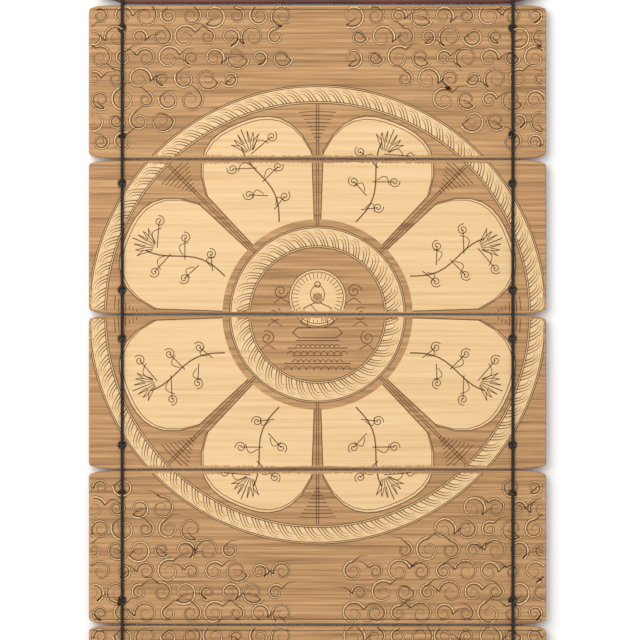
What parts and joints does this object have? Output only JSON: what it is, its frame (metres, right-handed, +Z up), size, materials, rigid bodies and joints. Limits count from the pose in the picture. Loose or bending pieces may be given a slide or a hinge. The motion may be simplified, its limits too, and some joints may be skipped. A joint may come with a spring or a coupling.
{
  "type": "folding manuscript",
  "caption": "Bamboo folding manuscript, opened flat: wide incised boards laced edge to edge by two black cords, between lacquered cover boards.",
  "frame": {"origin": "centre of the opened book on the table it lies on", "axes": "+X along the boards, +Y along the chain towards the top cover, +Z up from the table"},
  "size_m": [0.274, 0.9288, 0.0093],
  "materials": {
    "bamboo": "satin",
    "lacquer": "satin",
    "cord": "matte"
  },
  "bodies": {
    "cover_board_top_body": {"cover_board_top": "lacquer", "cord_left_board_1": "cord", "cord_right_board_1": "cord"},
    "leaf_1_body": {"leaf_1": "bamboo", "cord_left_board_2": "cord", "cord_right_board_2": "cord", "cord_left_seam_1": "cord", "cord_right_seam_1": "cord"},
    "leaf_2_body": {"leaf_2": "bamboo", "cord_left_board_3": "cord", "cord_right_board_3": "cord", "cord_left_seam_2": "cord", "cord_right_seam_2": "cord"},
    "leaf_3_body": {"leaf_3": "bamboo", "cord_left_board_4": "cord", "cord_right_board_4": "cord", "cord_left_seam_3": "cord", "cord_right_seam_3": "cord"},
    "leaf_4_body": {"leaf_4": "bamboo", "cord_left_board_5": "cord", "cord_right_board_5": "cord", "cord_left_seam_4": "cord", "cord_right_seam_4": "cord"},
    "leaf_5_body": {"leaf_5": "bamboo", "cord_left_board_6": "cord", "cord_right_board_6": "cord", "cord_left_seam_5": "cord", "cord_right_seam_5": "cord"},
    "leaf_6_body": {"leaf_6": "bamboo", "cord_left_board_7": "cord", "cord_right_board_7": "cord", "cord_left_seam_6": "cord", "cord_right_seam_6": "cord"},
    "leaf_7_body": {"leaf_7": "bamboo", "cord_left_board_8": "cord", "cord_right_board_8": "cord", "cord_left_seam_7": "cord", "cord_right_seam_7": "cord"},
    "leaf_8_body": {"leaf_8": "bamboo", "cord_left_board_9": "cord", "cord_right_board_9": "cord", "cord_left_seam_8": "cord", "cord_right_seam_8": "cord"},
    "cover_board_bottom_body": {"cover_board_bottom": "lacquer", "cord_left_board_10": "cord", "cord_right_board_10": "cord", "cord_left_seam_9": "cord", "cord_right_seam_9": "cord"}
  },
  "joints": [
    {"name": "fold_1", "type": "hinge", "parent": "leaf_1_body", "child": "cover_board_top_body", "pos_m": [0, 0.372, 0.0096], "axis": [1, 0, 0], "range_deg": [0, 180], "deforming": ["cord_left_seam_1", "cord_right_seam_1"]},
    {"name": "fold_2", "type": "hinge", "parent": "leaf_2_body", "child": "leaf_1_body", "pos_m": [0, 0.279, -0.0003], "axis": [-1, 0, 0], "range_deg": [0, 180], "deforming": ["cord_left_seam_2", "cord_right_seam_2"]},
    {"name": "fold_3", "type": "hinge", "parent": "leaf_3_body", "child": "leaf_2_body", "pos_m": [0, 0.186, 0.0096], "axis": [1, 0, 0], "range_deg": [0, 180], "deforming": ["cord_left_seam_3", "cord_right_seam_3"]},
    {"name": "fold_4", "type": "hinge", "parent": "leaf_4_body", "child": "leaf_3_body", "pos_m": [0, 0.093, -0.0003], "axis": [-1, 0, 0], "range_deg": [0, 180], "deforming": ["cord_left_seam_4", "cord_right_seam_4"]},
    {"name": "fold_5", "type": "hinge", "parent": "leaf_4_body", "child": "leaf_5_body", "pos_m": [0, 0, 0.0096], "axis": [-1, 0, 0], "range_deg": [0, 180], "deforming": ["cord_left_seam_5", "cord_right_seam_5"]},
    {"name": "fold_6", "type": "hinge", "parent": "leaf_5_body", "child": "leaf_6_body", "pos_m": [0, -0.093, -0.0003], "axis": [1, 0, 0], "range_deg": [0, 180], "deforming": ["cord_left_seam_6", "cord_right_seam_6"]},
    {"name": "fold_7", "type": "hinge", "parent": "leaf_6_body", "child": "leaf_7_body", "pos_m": [0, -0.186, 0.0096], "axis": [-1, 0, 0], "range_deg": [0, 180], "deforming": ["cord_left_seam_7", "cord_right_seam_7"]},
    {"name": "fold_8", "type": "hinge", "parent": "leaf_7_body", "child": "leaf_8_body", "pos_m": [0, -0.279, -0.0003], "axis": [1, 0, 0], "range_deg": [0, 180], "deforming": ["cord_left_seam_8", "cord_right_seam_8"]},
    {"name": "fold_9", "type": "hinge", "parent": "leaf_8_body", "child": "cover_board_bottom_body", "pos_m": [0, -0.372, 0.0096], "axis": [-1, 0, 0], "range_deg": [0, 180], "deforming": ["cord_left_seam_9", "cord_right_seam_9"]}
  ]
}
